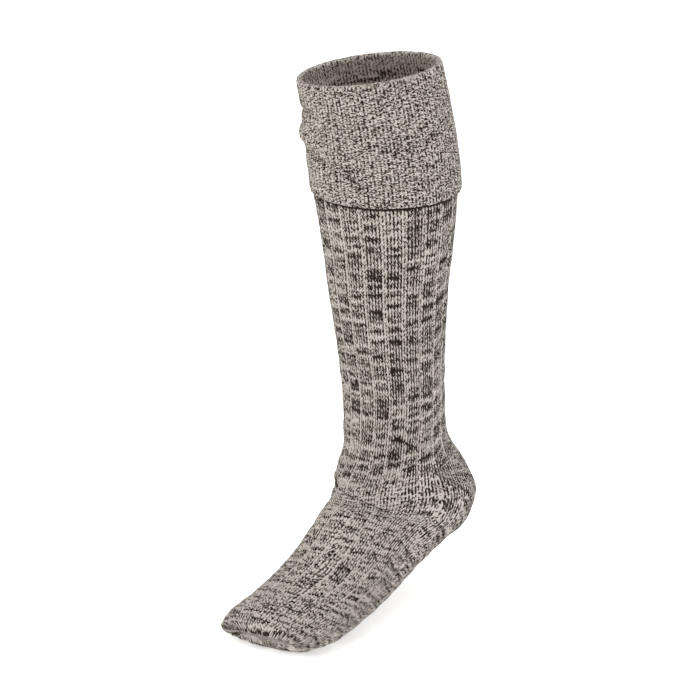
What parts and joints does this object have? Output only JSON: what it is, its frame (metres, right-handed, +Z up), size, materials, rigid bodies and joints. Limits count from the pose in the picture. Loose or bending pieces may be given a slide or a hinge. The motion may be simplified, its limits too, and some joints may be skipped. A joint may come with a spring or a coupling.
{
  "type": "knee-length sock",
  "caption": "Thick ribbed knee-length wool sock with a turned-down cuff, filled out as worn, open at the top and closed at the toe.",
  "frame": {"origin": "middle of the leg opening, on the leg's middle line at the rim", "axes": "+Z up out of the leg opening, -Y towards the toe, +X to the side of the sock that is seen on the picture's right"},
  "size_m": [0.1223, 0.2622, 0.4408],
  "materials": {
    "cuff_wool": "matte ragg wool, fine one-by-one rib, light grey flecked with dark brown",
    "leg_wool": "matte ragg wool, wide rib, light grey and dark brown in short blocks",
    "heel_wool": "matte ragg wool, plain knit, light grey and dark brown",
    "foot_wool": "matte ragg wool, rib over the instep and plain knit under the sole, light grey and dark brown",
    "toe_wool": "matte ragg wool, plain knit, light grey and dark brown"
  },
  "bodies": {
    "root": {"cuff": "cuff_wool", "leg": "leg_wool", "heel": "heel_wool", "foot": "foot_wool", "toe": "toe_wool"}
  },
  "joints": []
}
